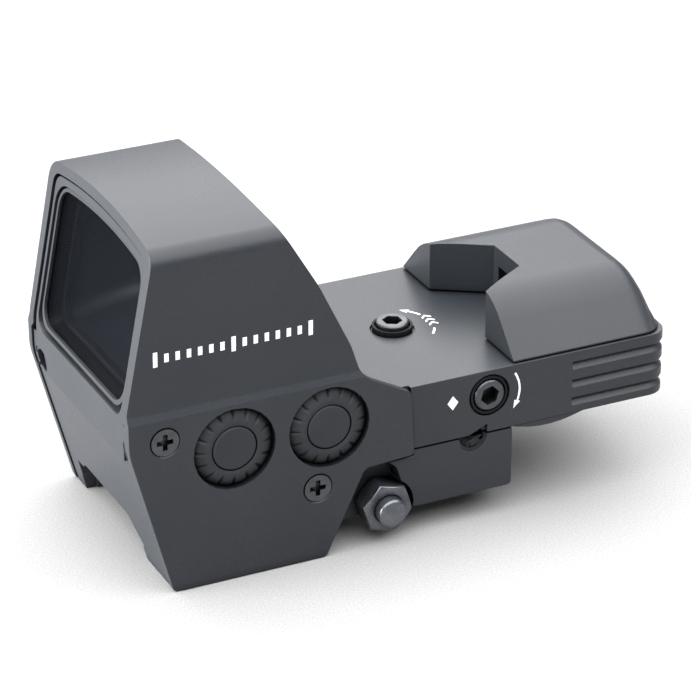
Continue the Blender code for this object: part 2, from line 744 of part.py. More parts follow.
def make_cover_screws(steel):
    for number, (x, y) in enumerate(cover_screw_spots(), 1):
        name = f"cover_screw_{number}"
        profile = [(0, 12.2), (1.0, 12.2), (1.0, 1.3), (2.0, 1.3), (2.0, 0.0), (0, 0)]
        screw = turned(name, profile, (x, y, 9.3), (0, 0, 1))
        cut(screw, rod(f"{name}_hex", 0.87, (x, y, 8), (x, y, 10.0), 6))
        part(screw, steel)


# ============================ emitter and its arm ============================
def make_emitter(mats):
    ax, ay, az = ELEVATION_PIVOT
    wx = WINDAGE_PIVOT[0]
    low, high = ARM_Z
    yoke = box("pivot_yoke", (ax - 2.8, -5.0, low), (wx + 3.0, 5.0, high))
    cut(yoke, box("yoke_fork", (wx - 3.4, -9, 14.1), (wx + 9, 9, 16.1)),
        rod("yoke_bore", 1.3, (ax, -9, az), (ax, 9, az)),
        rod("yoke_pin_bore", 1.3, (wx, 0, 5), (wx, 0, 25)))
    part(move_origin(yoke, ELEVATION_PIVOT), mats["brass"])
    part(rod("elevation_pivot_pin", 1.0, (ax, -17.2, az), (ax, 17.2, az)), mats["steel"])
    pin = rod("windage_pivot_pin", 1.0, (wx, 0, low + 0.1), (wx, 0, high - 0.1))
    part(move_origin(pin, WINDAGE_PIVOT), mats["steel"])

    arm = box("emitter_arm", (wx - 2.6, -3.6, 14.4), (18.4, 3.6, 15.8))
    join(arm, box("arm_bar", (18.0, -ARM_HALF, low), (48.0, ARM_HALF, high)),
         box("arm_upright", (44.5, -4.5, 15), (48.0, 4.5, 27.1)))
    sx, sy = ELEVATION_XY
    cut(arm, rod("arm_pin_bore", 1.3, (wx, 0, 5), (wx, 0, 25)),
        rod("arm_spring_pocket", 2.5, (sx + 1.8, sy, 5), (sx + 1.8, sy, 16.0)),
        rod("emitter_bore", 2.1, (40, 0, EMITTER_Z), (47.0, 0, EMITTER_Z)),
        rod("lead_bore", 0.9, (40, 0, EMITTER_Z), (50.0, 0, EMITTER_Z)))
    part(move_origin(arm, WINDAGE_PIVOT), mats["black_alloy"])

    profile = [(0, 2.3), (0.8, 2.1), (1.3, 1.6), (1.5, 0.9), (1.5, 0.5), (1.8, 0.5), (1.8, 0), (0, 0)]
    led = turned("led_emitter", profile, (46.7, 0, EMITTER_Z), (-1, 0, 0))
    part(led, mats["red"])
    ring = [(1.7, 0.5), (1.7, 0.0), (0.35, 0.0), (0.35, 0.5)]
    mask = turned("reticle_mask", ring, (43.5, 0, EMITTER_Z), (1, 0, 0), ring=True)
    holder = [(2.6, 0.9), (2.6, 0.0), (2.0, 0.0), (2.0, 0.9)]
    part(mask, mats["steel"])
    frame = turned("reticle_holder", holder, (43.3, 0, EMITTER_Z), (1, 0, 0), ring=True)
    part(frame, mats["black_alloy"])
    part(box("emitter_window", (41.1, -2.7, 22.3), (42.1, 2.7, 26.7)), mats["glass"])


def make_adjusters(mats):
    ex, ey = ELEVATION_XY
    wx, wz = WINDAGE_XZ
    head = [(0, 2.75), (2.55, 2.75), (2.8, 2.5), (2.8, 0), (0, 0)]
    screw = turned("elevation_screw", head, (ex, ey, 20.0), (0, 0, 1))
    cut(screw, rod("elevation_hex", 1.73, (ex, ey, 21.0), (ex, ey, 24), 6))
    part(screw, mats["steel"])
    collar = rod("elevation_collar", 3.5, (ex, ey, 21.0), (ex, ey, 22.0))
    cut(collar, rod("collar_bore", 3.05, (ex, ey, 19), (ex, ey, 24)))
    for i in range(16):
        angle = math.tau * i / 16
        x, y = ex + 3.6 * math.cos(angle), ey + 3.6 * math.sin(angle)
        cut(collar, rod(f"collar_notch_{i}", 0.26, (x, y, 19), (x, y, 24), 4))
    part(collar, mats["black_alloy"])
    plunger = rod("elevation_plunger", 1.7, (ex, ey, ARM_Z[1] + GAP), (ex, ey, 19.3))
    part(plunger, mats["brass"])
    part(coil("elevation_spring", (ex + 1.8, ey, CAVITY_Z[0] + 0.2), (ex + 1.8, ey, 15.4), 1.8, 0.5, 4),
         mats["steel"])

    screw = turned("windage_screw", [(0, 3.75), (2.5, 3.75), (2.75, 3.5), (2.75, 0), (0, 0)],
                   (wx, -17.5, wz), (0, -1, 0))
    cut(screw, rod("windage_hex", 1.73, (wx, -25, wz), (wx, -19.3, wz), 6, math.radians(15)))
    part(screw, mats["steel"])
    ring = turned("windage_bushing", [(3.45, 0.9), (3.45, 0), (3.0, 0), (3.0, 0.9)],
                  (wx, -20.1, wz), (0, -1, 0), ring=True)
    part(ring, mats["black_alloy"])
    plunger = rod("windage_plunger", 1.2, (wx, -16.4, wz), (wx, -ARM_HALF - GAP, wz))
    part(plunger, mats["brass"])
    part(coil("windage_spring", (wx, CAVITY_HALF - 0.3, 15.1), (wx, ARM_HALF + 0.9, 15.1), 1.6, 0.45, 5),
         mats["steel"])


# ========================== buttons, board and battery =======================
def make_controls(mats):
    for place, (x, z) in BUTTONS.items():
        centre = (x, -19.7, z)
        cap = turned(f"button_{place}", [(0, 2.2), (BUTTON_R - 0.35, 2.2), (BUTTON_R, 1.9),
                                         (BUTTON_R, 0.45), (BUTTON_FLANGE_R, 0.45),
                                         (BUTTON_FLANGE_R, 0), (0, 0)], centre, (0, -1, 0))
        part(cap, mats["rubber"])
        boot = turned(f"button_boot_{place}", [(BUTTON_R + GAP, 2.05), (4.6, 2.15), (6.95, 1.0),
                                               (6.95, 0.78), (BUTTON_R + GAP, 0.78)],
                      (x, -19.75, z), (0, -1, 0), ring=True)
        for i in range(15):
            angle = math.tau * i / 15
            u, v = math.cos(angle), math.sin(angle)
            cut(boot, rod(f"boot_notch_{place}_{i}", 0.4, (x + 5.1 * u, -22.1, z + 5.1 * v),
                          (x + 7.6 * u, -20.55, z + 7.6 * v), 6))
        part(boot, mats["rubber"])
        switch = box(f"tact_switch_{place}", (x - 3, -18.0, z - 3), (x + 3, -15.9, z + 3))
        join(switch, rod(f"switch_stem_{place}", 1.5, (x, -17, z), (x, -18.7, z)))
        part(switch, mats["black_plastic"])
    board = box("circuit_board", (POCKET_X[0] + 0.6, -15.6, POCKET_Z[0] + 0.4),
                (POCKET_X[1] - 0.6, -14.7, BOARD_TOP_Z))
    part(board, mats["board"])
    chip = box("driver_chip", (-14.0, -17.0, 12.0), (-9.0, -15.9, 16.5))
    part(chip, mats["black_plastic"])


def make_battery(mats):
    x, z = BATTERY_XZ
    cell = turned("coin_cell", [(0, 3.2), (7.3, 3.2), (CELL_R, 2.6), (CELL_R, 0.2), (7.8, 0), (0, 0)],
                  (x, 15.4, z), (0, 1, 0))
    part(cell, mats["bright_steel"])
    contact = box("battery_contact", (x - 1.5, 14.5, z - 6), (x + 1.5, 14.8, z + 6))
    join(contact, box("contact_tongue", (x - 1.0, 14.7, z + 1), (x + 1.0, 15.1, z + 5)))
    part(contact, mats["brass"])
    cap = turned("battery_cap", [(0, 3.4), (CAP_R - 0.5, 3.4), (CAP_R, 2.9), (CAP_R, 1.4),
                                 (8.5, 1.4), (8.5, 0), (7.0, 0), (7.0, 0.6), (0, 0.6)],
                 (x, 19.2, z), (0, 1, 0))
    cut(cap, box("coin_slot", (x - 6.5, 21.4, z - 0.9), (x + 6.5, 24, z + 0.9)))
    part(cap, mats["black_alloy"])
    seal = turned("cap_seal", [(8.95, 0.9), (8.95, 0), (8.75, 0), (8.75, 0.9)],
                  (x, 19.4, z), (0, 1, 0), ring=True)
    part(seal, mats["rubber"])


# ================================ rail clamp =================================
def make_clamp(mats):
    block = prism("mount_block", [(BLOCK_X0, BLOCK_FLOOR_Z), (BLOCK_X1, BLOCK_FLOOR_Z),
                                  (BLOCK_X1, BLOCK_TOP_Z), (BLOCK_X0, BLOCK_TOP_Z)],
                  "xz", -17.5, RAIL_HALF - GAP)
    flange = rounded([(12.95, BLOCK_TOP_Z, 0), (12.95, 8.4, 0), (8.3, 8.2, 0), (9.8, 7.0, 2.0),
                      (10.9, 3.5, 3.0), (12.9, BLOCK_SKIRT_Z, 0.8),
                      (BLOCK_X1, BLOCK_SKIRT_Z, 0.8), (BLOCK_X1, BLOCK_TOP_Z, 0)])
    join(block, prism("block_flange", flange, "xz", -DECK_HALF + 0.1, -16),
         box("block_leg", (BLOCK_X0, -13.0, LEG_Z), (BLOCK_X1, -8.5, 0)), solver="MANIFOLD")
    lx, lz = LOCK_XZ
    cut(block, prism("rail_rear", rail_outline(-9), "yz", -20, 50),
        rod("bolt_bore", BOLT_R + GAP, (CLAMP_X, -30, CLAMP_Z), (CLAMP_X, 30, CLAMP_Z)),
        rod("nut_spotface", NUT_RECESS_R, (CLAMP_X, -30, CLAMP_Z), (CLAMP_X, NUT_SEAT_Y + GAP, CLAMP_Z)),
        rod("lock_bore", 2.0, (lx, -30, lz), (lx, -14.5, lz)),
        rod("lock_mouth", 2.6, (lx, -30, lz), (lx, -20.2, lz)), solver="MANIFOLD")
    for number, x in enumerate(BASE_SCREW_X, 1):
        profile = [(0, 1), (3.2, 1), (3.2, -2.0), (1.8, -2.0), (1.8, -14), (0, -14)]
        cut(block, turned(f"base_hole_{number}", profile, (x, BASE_SCREW_Y, 0), (0, 0, -1)),
            rod(f"guide_bore_{number}", 1.2, (x - 2.0, 4.0, 5.0), (x - 2.0, 30, 5.0)),
            solver="MANIFOLD")
    part(block, mats["alloy"])
    make_base_screws(mats["steel"])

    jaw = prism("clamp_jaw", [(RAIL_HALF + 0.15, -0.4), (RAIL_HALF + 0.15, -2.85),
                              (RAIL_LIP_HALF, -4.45), (RAIL_LIP_HALF, -5.4), (JAW_BAR_Y, -5.4),
                              (JAW_BAR_Y, -0.4)], "yz", JAW_START_X, JAW_END_X)
    lug = rounded([(CLAMP_X - 6.5, -2.0, 0), (JAW_END_X, -2.0, 0.8), (JAW_END_X, 9.0, 0.8),
                   (CLAMP_X - 6.5, 9.0, 3.0)])
    join(jaw, prism("jaw_lug", lug, "xz", RAIL_HALF + 0.15, JAW_LUG_Y))
    cut(jaw, rod("jaw_bolt_bore", BOLT_R + GAP, (CLAMP_X, 0, CLAMP_Z), (CLAMP_X, 30, CLAMP_Z)),
        rod("jaw_head_bore", 4.8, (CLAMP_X, 16.2, CLAMP_Z), (CLAMP_X, 30, CLAMP_Z)))
    for number, x in enumerate((15.5, 23.5), 1):
        cut(jaw, rod(f"jaw_guide_hole_{number}", 1.3, (x, 5, 5.0), (x, 17.5, 5.0)))
        part(rod(f"jaw_guide_pin_{number}", 0.9, (x, 4.4, 5.0), (x, 14.6, 5.0)), mats["steel"])
    part(jaw, mats["alloy"])

    bolt = turned("clamp_bolt", [(0, 4.0), (4.0, 4.0), (4.4, 3.6), (4.4, 0), (BOLT_R, 0),
                                 (BOLT_R, -39.9), (2.1, -40.3), (0, -40.3)],
                  (CLAMP_X, 16.5, CLAMP_Z), (0, 1, 0))
    cut(bolt, rod("bolt_hex", 2.31, (CLAMP_X, 18.2, CLAMP_Z), (CLAMP_X, 25, CLAMP_Z), 6))
    part(bolt, mats["bright_steel"])
    corner = NUT_FLATS / math.sqrt(3)
    outer_y = NUT_SEAT_Y - NUT_TALL
    nut = rod("clamp_nut", corner, (CLAMP_X, NUT_SEAT_Y, CLAMP_Z), (CLAMP_X, outer_y, CLAMP_Z), 6,
              math.radians(30 - 12))
    reach = corner + 0.6
    drop = (reach - NUT_FACE_R) * NUT_CHAMFER
    chamfer = turned("nut_chamfer", [(0, 1.0), (NUT_FACE_R - 1.0 / NUT_CHAMFER, 1.0), (reach, -drop),
                                     (reach, drop - NUT_TALL),
                                     (NUT_FACE_R - 1.0 / NUT_CHAMFER, -NUT_TALL - 1.0),
                                     (0, -NUT_TALL - 1.0)],
                     (CLAMP_X, outer_y, CLAMP_Z), (0, -1, 0))
    boolean(nut, chamfer, "INTERSECT")
    cut(nut, rod("nut_bore", BOLT_R + 0.12, (CLAMP_X, -30, CLAMP_Z), (CLAMP_X, -10, CLAMP_Z)))
    part(nut, mats["bright_steel"])


def make_base_screws(steel):
    """Screws that hold the mount block up against the body."""
    end, y = -BASE_SCREW_END_Z, BASE_SCREW_Y
    for number, x in enumerate(BASE_SCREW_X, 1):
        name = f"base_screw_{number}"
        screw = turned(name, [(0, -0.3), (2.8, -0.3), (2.8, -1.7), (1.4, -1.7), (1.4, end), (0, end)],
                       (x, y, 0), (0, 0, -1))
        cut(screw, rod(f"{name}_hex", 1.2, (x, y, -1), (x, y, 1.1), 6))
        part(screw, steel)


def make_set_screws(steel):
    lx, lz = LOCK_XZ
    lock = rod("lock_screw", 1.65, (lx, -19.6, lz), (lx, -15.0, lz))
    cut(lock, rod("lock_hex", 0.87, (lx, -25, lz), (lx, -18.0, lz), 6))
    part(lock, steel)
    front = rod("front_set_screw", 1.85, (-36.2, 17.0, 19.4), (-33.9, 17.0, 19.4))
    cut(front, rod("front_hex", 1.0, (-40, 17.0, 19.4), (-35.2, 17.0, 19.4), 6))
    part(front, steel)


# =================================== build ===================================
clear_scene()
sight = new_collection("red_dot_sight")
cutters = new_collection("cutters")

MATS = {
    "alloy": make_material("anodised_alloy", (0.075, 0.079, 0.085), 0.52, 0.35),
    "black_alloy": make_material("black_alloy", (0.03, 0.031, 0.034), 0.5, 0.35),
    "steel": make_material("blackened_steel", (0.11, 0.112, 0.118), 0.36, 0.8),
    "bright_steel": make_material("zinc_steel", (0.2, 0.205, 0.215), 0.34, 0.9),
    "brass": make_material("brass", (0.62, 0.47, 0.2), 0.35, 0.9),
    "rubber": make_material("button_rubber", (0.022, 0.023, 0.026), 0.62),
    "black_plastic": make_material("black_plastic", (0.02, 0.02, 0.022), 0.45),
    "board": make_material("board_green", (0.02, 0.12, 0.05), 0.5),
    "glass": make_material("coated_glass", (0.75, 0.8, 0.85), 0.05, 0.0, 0.35),
    "red": make_material("red_emitter", (0.7, 0.03, 0.02), 0.25),
}

make_hood(MATS["alloy"])
make_hood_screws(MATS["steel"])
make_main_body(MATS["alloy"])
lens_slab("lens_seal", 0.3, 0.6, 0.8, 0.5, MATS["rubber"])
lens_slab("objective_lens", 0.3, 0.0, 1.6, 2.4, MATS["glass"])
lens_slab("lens_retainer", 0.3, 0.9, 4.3, 1.2, MATS["black_alloy"])
make_cover(MATS["alloy"])
make_cover_screws(MATS["steel"])
make_emitter(MATS)
make_adjusters(MATS)
make_controls(MATS)
make_battery(MATS)
make_clamp(MATS)
make_set_screws(MATS["steel"])
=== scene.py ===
"""Looks of an open reflex red dot sight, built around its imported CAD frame.

Sizes are in millimetres unless a name says otherwise; MM turns them to metres.
+X runs to the user's eye, -Y is the near side and +Z is up.
"""
import json
import math

import bmesh
import bpy
from mathutils import Matrix, Vector


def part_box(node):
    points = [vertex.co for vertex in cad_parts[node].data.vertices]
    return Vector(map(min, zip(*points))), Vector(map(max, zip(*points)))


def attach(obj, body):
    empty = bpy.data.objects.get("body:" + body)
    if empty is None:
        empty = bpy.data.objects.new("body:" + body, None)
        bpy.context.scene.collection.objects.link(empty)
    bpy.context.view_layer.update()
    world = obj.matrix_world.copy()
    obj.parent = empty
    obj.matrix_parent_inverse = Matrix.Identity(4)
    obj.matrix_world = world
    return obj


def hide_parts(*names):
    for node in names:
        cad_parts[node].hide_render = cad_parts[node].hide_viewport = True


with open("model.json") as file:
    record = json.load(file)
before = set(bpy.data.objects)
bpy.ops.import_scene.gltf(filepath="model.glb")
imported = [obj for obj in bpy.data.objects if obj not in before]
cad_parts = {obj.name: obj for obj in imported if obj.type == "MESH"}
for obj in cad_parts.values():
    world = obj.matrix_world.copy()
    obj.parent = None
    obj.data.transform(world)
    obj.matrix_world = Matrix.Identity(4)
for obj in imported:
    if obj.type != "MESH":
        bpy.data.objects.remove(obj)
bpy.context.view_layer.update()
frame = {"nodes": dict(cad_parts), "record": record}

MM = 0.001
X, Y, Z = Vector((1, 0, 0)), Vector((0, 1, 0)), Vector((0, 0, 1))

# ---- camera -----------------------------------------------------------------
AZIMUTH, ELEVATION = math.radians(-25.5), math.radians(26.4)
TARGET = Vector((0, -22.0, 31.9))
DISTANCE = 571.2
LENS, SENSOR_WIDE = 186.0, 36.0
CLIP_START_M, CLIP_END_M = 0.01, 20.0

# ---- light and floor --------------------------------------------------------
LIGHTS = {"top_light": dict(place_m=(0.0, 0.75, 1.0), aim_m=(0, 0.75, 0), size_m=(2.6, 4.2),
                            power_w=185.0),
          "front_light": dict(place_m=(-1.0, 0.15, 0.15), aim_m=(0, 0, 0.03), size_m=(0.8, 0.3),
                              power_w=42.0)}
WORLD_STRENGTH = 0.26
FLOOR_HALF_M = 6.0
FLOOR_GAP_M = 0.0001          # between the floor and the lowest edge of the hood

# ---- finishes ---------------------------------------------------------------
GRAIN_SHADE = 0.14            # how far the grain lightens and darkens the tone
GRAIN_ROUGH = 0.06            # how far it raises and lowers the roughness
GRAIN_TALL = 0.02             # height of the grain under a full bump
# Painted shade in recesses: the tone left at the bottom of a deep recess, and the span of ambient occlusion
# over which the darkening fades in.
PAINTED_SHADE_TONE = 0.02            # tone left at the bottom of a deep recess
PAINTED_SHADE_START, PAINTED_SHADE_END = 0.25, 0.85

# Where a finish gives a recess width in millimetres, narrower recesses get painted shade.
FINISHES = {
    "anodised_alloy": dict(dark=(0.015, 0.0175, 0.022), light=(0.019, 0.0215, 0.026), rough=0.42,
                           specular=0.32, bump=0.55, grain_per_mm=3.2, cloud_per_mm=0.04, painted_shade_reach=2.5),
    "black_alloy": dict(dark=(0.005, 0.005, 0.006), light=(0.008, 0.008, 0.009), rough=0.6,
                        specular=0.12, bump=0.35, grain_per_mm=4.0, cloud_per_mm=0.08),
    "blackened_steel": dict(dark=(0.052, 0.055, 0.061), light=(0.08, 0.084, 0.091), rough=0.36,
                            metallic=0.8, bump=0.3, grain_per_mm=5.0, cloud_per_mm=0.4, painted_shade_reach=3.0),
    "zinc_steel": dict(dark=(0.08, 0.085, 0.095), light=(0.15, 0.158, 0.175), rough=0.33,
                       metallic=0.85, bump=0.35, grain_per_mm=4.5, cloud_per_mm=0.35, painted_shade_reach=3.5),
    "brass": dict(dark=(0.55, 0.4, 0.16), light=(0.68, 0.52, 0.24), rough=0.33,
                  metallic=0.95, bump=0.2, grain_per_mm=4.0, cloud_per_mm=0.2),
    "button_rubber": dict(dark=(0.013, 0.015, 0.018), light=(0.018, 0.020, 0.024), rough=0.6,
                          specular=0.3, bump=0.4, grain_per_mm=3.5, cloud_per_mm=0.15, painted_shade_reach=2.5),
    "black_plastic": dict(dark=(0.015, 0.015, 0.017), light=(0.022, 0.022, 0.024), rough=0.5,
                          bump=0.3, grain_per_mm=4.0, cloud_per_mm=0.1),
    "board_green": dict(dark=(0.012, 0.09, 0.035), light=(0.02, 0.13, 0.05), rough=0.35,
                        bump=0.2, grain_per_mm=6.0, cloud_per_mm=0.3),
    "red_emitter": dict(dark=(0.5, 0.02, 0.015), light=(0.7, 0.03, 0.02), rough=0.2),
    "white_paint": dict(dark=(0.72, 0.73, 0.75), light=(0.82, 0.83, 0.85), rough=0.55,
                        specular=0.4, bump=0.2, grain_per_mm=5.0, cloud_per_mm=0.3),
}
FLOOR_FINISH = dict(dark=(0.265, 0.265, 0.265), light=(0.272, 0.272, 0.272), rough=0.9,
                    specular=0.1, cloud_per_mm=0.002)

# The lens is real, but its near-black tint, laid over the view at GLASS_ALPHA, is painted shade that
# darkens the hood's interior seen through it.
GLASS_SHADE_TINT = (0.004, 0.005, 0.007)
GLASS_ALPHA = 0.3
GLASS_ROUGH = 0.04
GLASS_IOR = 1.06              # the coating leaves almost no reflection

# ---- edges ------------------------------------------------------------------
WELD_M = 1e-6
FLAT_ANGLE = math.radians(0.5)
SHARP_ANGLE = math.radians(34)
HOOD_SCREWS = [f"hood_screw_{side}_{end}" for side in ("left", "right") for end in ("front", "rear")]
EDGE_ROUND = {"hood_shroud": 0.15, "main_body": 0.16, "emitter_cover": 0.14, "mount_block": 0.22,
              "clamp_jaw": 0.25, "battery_cap": 0.25, "lens_retainer": 0.12, "clamp_nut": 0.12,
              "clamp_bolt": 0.16, "emitter_arm": 0.2, "pivot_yoke": 0.15, "windage_bushing": 0.08,
              "elevation_collar": 0.06, "elevation_screw": 0.07, "windage_screw": 0.07,
              **dict.fromkeys(HOOD_SCREWS, 0.06)}

# ---- buttons: heights run outwards from the back of the disc ----------------
BUTTON_BACK_Y = -19.7
DISC_R, DISC_TALL = 3.8, 2.2
DISC_EDGE = 0.35              # radius of the disc's rounded rim
DISC_DOME = [(0, 0.06), (1.6, 0.05), (2.7, 0.03)]      # radius, height above the rim
DISC_STEPS = 96
FLANGE_R, FLANGE_TALL = 4.6, 0.45

BOOT_IN, BOOT_OUT = 3.98, 6.95
BOOT_FLOOR = 0.78             # height of the boot's underside
BOOT_SINK = 0.05              # how far the boot sits behind the disc's back
BOOT_TOP = [(BOOT_IN, 2.02), (4.3, 2.12), (4.6, 2.14), (5.0, 2.06), (5.4, 1.93), (5.8, 1.76),
            (6.2, 1.55), (6.6, 1.30), (6.85, 1.12), (BOOT_OUT, 1.0)]
FLUTES, STEPS_A_FLUTE = 16, 12
FLUTE_START, FLUTE_RUN = 4.7, 1.2      # radius where a flute starts, and its run to full depth
FLUTE_DEEP = 0.42
FLUTE_NARROW = 6              # power of the cosine; more makes a narrower flute

# ---- marks ------------------------------------------------------------------
PAINT_TALL = 0.04             # thickness of the printed marks
PAINT_SINK = 0.03             # how far their base lies inside the surface
LINE_WIDE = 0.36
ARROW_LONG, ARROW_WIDE = 1.5, 1.15
ARROW_TURN_IN = 0.15          # how far an arrow's tip leans in, to follow its arc
ARC_STEPS = 20

WINDAGE_ARC = 5.6             # radius of the arrow round the windage screw
WINDAGE_SPAN = (33, -22)      # its angles in degrees
DIAMOND_X = 20.0
DIAMOND_HALF_WIDE, DIAMOND_HALF_TALL = 1.0, 1.3

ELEVATION_ARC = 7.1           # radius of the marks round the elevation screw
ELEVATION_SPANS = ((-42, -24), (22, 42))
CHEVRON_HALF, CHEVRON_RISE, CHEVRON_THICK = 1.5, 0.75, 0.45
CHEVRON_SQUEEZE = 0.55        # their width along the radius, as a share of the drawn one
CHEVRON_PLACES = (-1.3, 0.1, 1.5)

BARS_FIRST_X, BARS_LAST_X, BARS_Z = -32.6, -5.8, 36.0
BARS, LONG_BAR_EVERY = 15, 7
BAR_TALL, LONG_BAR_TALL, BAR_WIDE = 1.5, 2.6, 0.75

SIDE_SPOT_X = 33.0            # a spot on the body's flat left side
DECK_SPOT_Y = 9.0             # a spot on the flat deck
LEFT_OF_ALL, ABOVE_ALL = -60, 80


def middle(node):
    """Centre of a CAD node's box, in millimetres."""
    low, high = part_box(node)
    return (low + high) * 0.5 / MM


# ================================= materials =================================
def add(tree, kind, **settings):
    node = tree.nodes.new(kind)
    for key, value in settings.items():
        setattr(node, key, value)
    return node


def set_inputs(node, **values):
    """Set a node's sockets; an underscore in a name stands for a space."""
    for name, value in values.items():
        node.inputs[name.replace("_", " ")].default_value = value


def new_shader(name):
    """A new material, its node tree and its shader."""
    material = bpy.data.materials.new(name)
    material.use_nodes = True
    return material, material.node_tree, material.node_tree.nodes["Principled BSDF"]


def noise(tree, coordinates, per_mm, detail):
    node = add(tree, "ShaderNodeTexNoise")
    set_inputs(node, Scale=per_mm / MM, Detail=detail, Roughness=0.55)
    tree.links.new(coordinates.outputs["Object"], node.inputs["Vector"])
    return node.outputs["Fac"]


def spread(tree, source, low, high, start=0.3, end=0.7):
    """Map a texture's start to end onto low to high."""
    node = add(tree, "ShaderNodeMapRange")
    set_inputs(node, From_Min=start, From_Max=end, To_Min=low, To_Max=high)
    tree.links.new(source, node.inputs["Value"])
    return node.outputs["Result"]


def blend_colours(tree, source, dark, light):
    node = add(tree, "ShaderNodeMix", data_type="RGBA")
    set_inputs(node, A=(*dark, 1), B=(*light, 1))
    tree.links.new(source, node.inputs["Factor"])
    return node.outputs["Result"]


def multiply(tree, colour, shade):
    node = add(tree, "ShaderNodeMix", data_type="RGBA", blend_type="MULTIPLY")
    set_inputs(node, Factor=1.0)
    tree.links.new(colour, node.inputs["A"])
    tree.links.new(shade, node.inputs["B"])
    return node.outputs["Result"]


def finish_material(name, dark, light, rough, metallic=0.0, specular=0.5, bump=0.0,
                    grain_per_mm=3.0, cloud_per_mm=0.05, painted_shade_reach=0.0):
    """Two tones in soft clouds, with a fine grain in tone, roughness and height.

    Recesses narrower than the given width, in millimetres, get painted shade: they are darkened."""
    material, tree, shader = new_shader(name)
    coordinates = add(tree, "ShaderNodeTexCoord")
    clouds = noise(tree, coordinates, cloud_per_mm, detail=4.0)
    grain = noise(tree, coordinates, grain_per_mm, detail=2.0)
    colour = blend_colours(tree, spread(tree, clouds, 0, 1), dark, light)
    colour = multiply(tree, colour, spread(tree, grain, 1 - GRAIN_SHADE, 1 + GRAIN_SHADE))
    # Painted shade: ambient occlusion darkens the colour towards the bottom of narrow recesses.
    if painted_shade_reach:
        depth = add(tree, "ShaderNodeAmbientOcclusion")
        set_inputs(depth, Distance=painted_shade_reach * MM)
        shade = spread(tree, depth.outputs["AO"], PAINTED_SHADE_TONE, 1, PAINTED_SHADE_START, PAINTED_SHADE_END)
        colour = multiply(tree, colour, shade)
    tree.links.new(colour, shader.inputs["Base Color"])
    tree.links.new(spread(tree, grain, rough - GRAIN_ROUGH, rough + GRAIN_ROUGH),
                   shader.inputs["Roughness"])
    set_inputs(shader, Metallic=metallic, Specular_IOR_Level=specular)
    if bump:
        relief = add(tree, "ShaderNodeBump")
        set_inputs(relief, Strength=bump, Distance=GRAIN_TALL * MM)
        tree.links.new(grain, relief.inputs["Height"])
        tree.links.new(relief.outputs["Normal"], shader.inputs["Normal"])
    return material


def glass_material(name):
    material, _, shader = new_shader(name)
    # The dark, partly opaque tint is painted shade over the hood's interior.
    set_inputs(shader, Base_Color=(*GLASS_SHADE_TINT, 1), Roughness=GLASS_ROUGH, IOR=GLASS_IOR, Alpha=GLASS_ALPHA)
    return material


def make_materials():
    materials = {name: finish_material(name, **finish) for name, finish in FINISHES.items()}
    materials["coated_glass"] = glass_material("coated_glass")
    return materials


# ================================= CAD nodes =================================
def smooth_by_angle():
    """Geometry nodes that shade smooth and keep edges over the sharp angle crisp."""
    tree = bpy.data.node_groups.new("smooth_by_angle", "GeometryNodeTree")
    tree.interface.new_socket("Geometry", in_out="INPUT", socket_type="NodeSocketGeometry")
    tree.interface.new_socket("Geometry", in_out="OUTPUT", socket_type="NodeSocketGeometry")
    come, go = add(tree, "NodeGroupInput"), add(tree, "NodeGroupOutput")
    angle = add(tree, "GeometryNodeInputMeshEdgeAngle")
    test = add(tree, "FunctionNodeCompare", data_type="FLOAT", operation="GREATER_THAN")
    set_inputs(test, B=SHARP_ANGLE)
    normals = add(tree, "GeometryNodeSetMeshNormal", mode="SHARPNESS")
    set_inputs(normals, Remove_Custom=True)
    tree.links.new(angle.outputs["Unsigned Angle"], test.inputs["A"])
    tree.links.new(test.outputs["Result"], normals.inputs["Edge Sharpness"])
    tree.links.new(come.outputs[0], normals.inputs["Mesh"])
    tree.links.new(normals.outputs[0], go.inputs[0])
    return tree


def dress_nodes(materials):
    """Give every CAD node its finish, softened edges and smooth shading."""
    shading = smooth_by_angle()
    slots = {row["node"]: row["material_slot"] for row in frame["record"]["subparts"]}
    for name, item in frame["nodes"].items():
        for slot in item.material_slots:
            slot.material = materials[slots[name]]
        weld = item.modifiers.new("weld", "WELD")
        weld.merge_threshold = WELD_M
        flat = item.modifiers.new("flat", "DECIMATE")
        flat.decimate_type = "DISSOLVE"
        flat.angle_limit = FLAT_ANGLE
        if name in EDGE_ROUND:
            edge = item.modifiers.new("edge", "BEVEL")
            edge.width = EDGE_ROUND[name] * MM
            edge.segments = 2
            edge.limit_method = "ANGLE"
            edge.angle_limit = SHARP_ANGLE
            edge.use_clamp_overlap = False
        item.modifiers.new("shading", "NODES").node_group = shading
        even = item.modifiers.new("even", "WEIGHTED_NORMAL")
        even.keep_sharp = True


# =============================== mesh helpers ================================
def new_piece(name, shape, material, body):
    mesh = bpy.data.meshes.new(name)
    bmesh.ops.recalc_face_normals(shape, faces=shape.faces)
    shape.to_mesh(mesh)
    shape.free()
    mesh.shade_smooth()
    mesh.set_sharp_from_angle(angle=SHARP_ANGLE)
    mesh.materials.append(material)
    item = bpy.data.objects.new(name, mesh)
    bpy.context.scene.collection.objects.link(item)
    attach(item, body)
    return item


